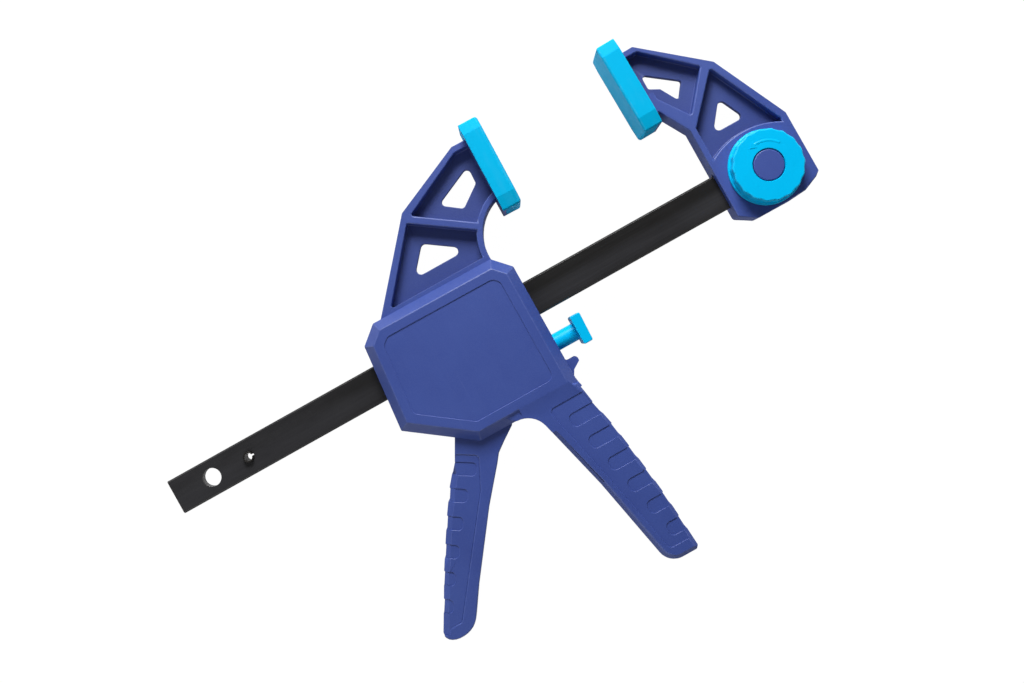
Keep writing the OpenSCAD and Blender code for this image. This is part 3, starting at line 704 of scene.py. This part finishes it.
# raised quarter arc and its arrow head, for the way to turn
def addArc(bm):
    values = knobValues
    top, high, sunk, crest = (values[key] for key in ("top", "arcHigh", "arcSunk", "arcCrest"))
    shape = ((-1, -sunk), (-1, 0), (-crest, high), (crest, high), (1, 0), (1, -sunk))
    arc = [bm.verts.new(((values["arcRadius"] + side * values["arcWide"] / 2) * mm, 0, (top + rise) * mm))
           for side, rise in shape]
    start = Matrix.Rotation(math.radians(values["arcFrom"]), 3, "Z")
    bmesh.ops.rotate(bm, verts=arc, cent=(0, 0, 0), matrix=start)
    band = bm.faces.new(arc)
    bmesh.ops.spin(bm, geom=[band, *band.edges, *arc], cent=(0, 0, 0), axis=(0, 0, 1),
                   angle=math.radians(values["arcTo"] - values["arcFrom"]), steps=values["arcSteps"])
    lower = bmesh.ops.create_circle(bm, cap_ends=True, segments=3, radius=values["arrow"] * mm)["verts"]
    raised = bmesh.ops.extrude_face_region(bm, geom=[lower[0].link_faces[0]])["geom"]
    upper = [item for item in raised if isinstance(item, bmesh.types.BMVert)]
    bmesh.ops.translate(bm, verts=upper, vec=(0, 0, (high + sunk) * mm))
    end = math.radians(values["arcTo"] + values["arrowAhead"])
    tip = Vector((values["arcRadius"] * math.cos(end), values["arcRadius"] * math.sin(end), top - sunk)) * mm
    bmesh.ops.rotate(bm, verts=lower + upper, cent=(0, 0, 0), matrix=Matrix.Rotation(end, 3, "Z"))
    bmesh.ops.translate(bm, verts=lower + upper, vec=tip)


def makeKnob():
    values = knobValues
    bm = bmesh.new()
    ring = [bm.verts.new((radius * mm, 0, height * mm)) for radius, height in knobProfile()]
    edges = [bm.edges.new((ring[i], ring[(i + 1) % len(ring)])) for i in range(len(ring))]
    bmesh.ops.spin(bm, geom=ring + edges, cent=(0, 0, 0), axis=(0, 0, 1), angle=math.tau,
                   steps=values["steps"], use_merge=True)
    bmesh.ops.remove_doubles(bm, verts=bm.verts, dist=meshValues["seam"] * mm)
    carveWaves(bm)
    addArc(bm)
    bmesh.ops.recalc_face_normals(bm, faces=bm.faces)
    bmesh.ops.translate(bm, verts=bm.verts, vec=(values["x"] * mm, barLine, 0))
    addPiece(bm, "lockKnob", "knob", "gloss", "lock_knob")


makeKnob()

# nodes kept as the CAD has them, with their own finish
keptNodes = {
    "steel": ("body_screws", "trigger_pin", "drive_plates", "brake_plate", "brake_pin", "lock_plunger",
              "cam_pins"),
    "spring": ("drive_spring", "brake_spring", "lock_spring")}
for finish, nodes in keptNodes.items():
    for node in nodes:
        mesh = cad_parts[node].data
        mesh.materials.clear()
        mesh.materials.append(finishes[finish])
print("kept nodes dressed:", sum(len(nodes) for nodes in keptNodes.values()))

floorValues = {"height": -16.8, "reach": 6000, "tone": 0.8, "shine": 0.2, "white": 1.04, "seen": 0.96}


# the floor is matt to the light, plain white to the camera, and partly white in the reflections
def makeFloor():
    values = floorValues
    bm = bmesh.new()
    place = Matrix.Translation((0, 0, values["height"] * mm))
    bmesh.ops.create_grid(bm, x_segments=1, y_segments=1, size=values["reach"] * mm, matrix=place)
    mesh = bpy.data.meshes.new("floor")
    bm.to_mesh(mesh)
    bm.free()
    floor = bpy.data.objects.new("floor", mesh)
    bpy.context.scene.collection.objects.link(floor)
    board = Board(bpy.data.materials.new("paleFloor"))
    seen = (board.ray("Camera") + board.ray("Glossy") * values["shine"] + board.ray("Transmission")).clamp()
    matt = board.add("ShaderNodeBsdfDiffuse", Color=(values["tone"],) * 3)
    white = board.add("ShaderNodeEmission", Color=(1, 1, 1), Strength=values["white"])
    board.show(board.add("ShaderNodeMixShader", seen * values["seen"], matt, white))
    mesh.materials.append(board.owner)


makeFloor()

worldValues = {"light": 0.09, "seen": 1.0, "shown": 0.8, "ceiling": 0.15, "ceilingFrom": 0.30,
               "ceilingTo": 0.80}


# a weak even light from all round, plain white to the camera, and a dark ceiling in the reflections
def makeWorld():
    values = worldValues
    world = bpy.data.worlds.new("studio")
    bpy.context.scene.world = world
    board = Board(world, output="ShaderNodeOutputWorld")
    height = board.add("ShaderNodeSeparateXYZ", board.add("ShaderNodeTexCoord", out="Generated"), out="Z")
    strength = board.add("ShaderNodeMapRange", height, settings={"interpolation_type": "SMOOTHSTEP"},
                         From_Min=values["ceilingFrom"], From_Max=values["ceilingTo"],
                         To_Min=values["shown"], To_Max=values["ceiling"])
    studio = board.add("ShaderNodeBackground", (1, 1, 1), strength)
    even = board.add("ShaderNodeBackground", (1, 1, 1), values["light"])
    white = board.add("ShaderNodeBackground", (1, 1, 1), values["seen"])
    lit = board.add("ShaderNodeMixShader", board.ray("Glossy"), even, studio)
    lit = board.add("ShaderNodeMixShader", board.ray("Transmission"), lit, studio)
    board.show(board.add("ShaderNodeMixShader", board.ray("Camera"), lit, white))


makeWorld()

cameraValues = {"centre": (-42.2, -15.43), "height": 650, "turn": -29.24, "lens": 41.28, "sensor": 36}
lampValues = {
    "key": {"up": 820, "side": -160, "high": 560, "size": 420, "watts": 14.0},
    "fill": {"up": -650, "side": -250, "high": 450, "size": 900, "watts": 2.1}}


# the point on the middle plane that the camera looks straight down on
def cameraCentre():
    x, y = cameraValues["centre"]
    return Vector((x * mm, barLine + y * mm, 0))


# a soft lamp placed by the camera's own up and right, aimed at the clamp
def makeLamp(name, look):
    turn = Matrix.Rotation(math.radians(cameraValues["turn"]), 3, "Z")
    centre = cameraCentre()
    place = centre + turn @ Vector((look["side"], look["up"], look["high"])) * mm
    light = bpy.data.lights.new(name, "AREA")
    light.size = look["size"] * mm
    light.energy = look["watts"]
    lamp = bpy.data.objects.new(name, light)
    bpy.context.scene.collection.objects.link(lamp)
    lamp.location = place
    lamp.rotation_euler = (centre - place).to_track_quat("-Z", "Y").to_euler()


def makeCamera():
    data = bpy.data.cameras.new("camera")
    data.sensor_width = cameraValues["sensor"]
    data.lens = cameraValues["lens"]
    camera = bpy.data.objects.new("camera", data)
    bpy.context.scene.collection.objects.link(camera)
    camera.location = cameraCentre() + Vector((0, 0, cameraValues["height"] * mm))
    camera.rotation_euler = (0, 0, math.radians(cameraValues["turn"]))
    bpy.context.scene.camera = camera


for lampName, lampLook in lampValues.items():
    makeLamp(lampName, lampLook)
makeCamera()
bpy.context.scene.view_settings.view_transform = "Standard"
print("lamps and camera placed")
